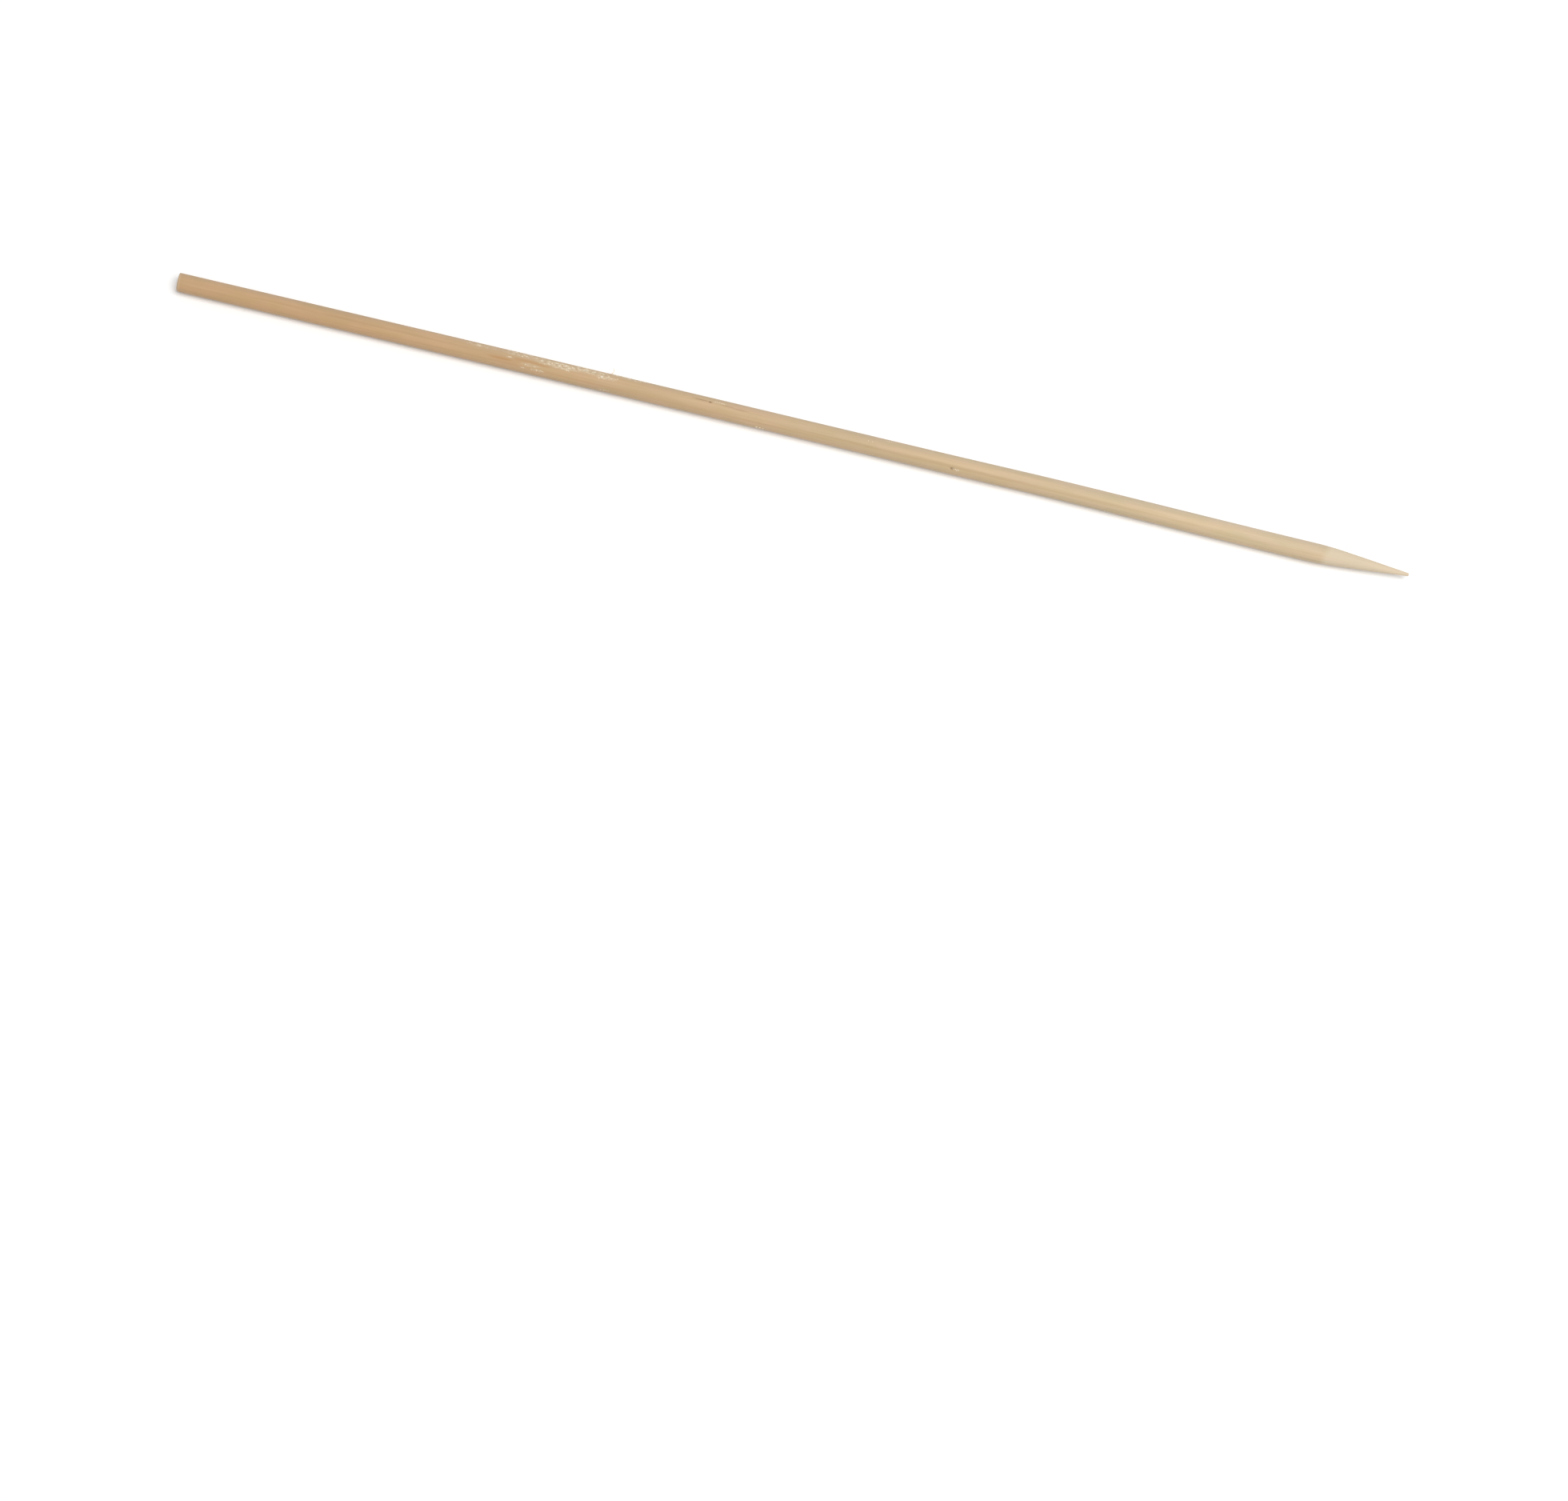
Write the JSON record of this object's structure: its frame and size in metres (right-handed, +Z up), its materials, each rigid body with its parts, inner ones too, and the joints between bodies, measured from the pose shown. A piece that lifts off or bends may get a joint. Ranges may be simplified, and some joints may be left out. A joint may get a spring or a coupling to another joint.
{
  "type": "bamboo skewer",
  "caption": "Slim round bamboo skewer, cut square at one end and sharpened to a cone at the other, for threading and grilling pieces of food.",
  "frame": {"origin": "middle of the underside of its box, halfway along the stick, on the surface that it lies on", "axes": "+X along the stick, from the blunt end to the point; +Z up"},
  "size_m": [0.2, 0.0034, 0.003],
  "materials": {
    "bamboo": "bare unvarnished bamboo, satin, with fine grain along its length, a torn patch and a paler fresh-cut cone"
  },
  "bodies": {
    "root": {"skewer": "bamboo"}
  },
  "joints": []
}
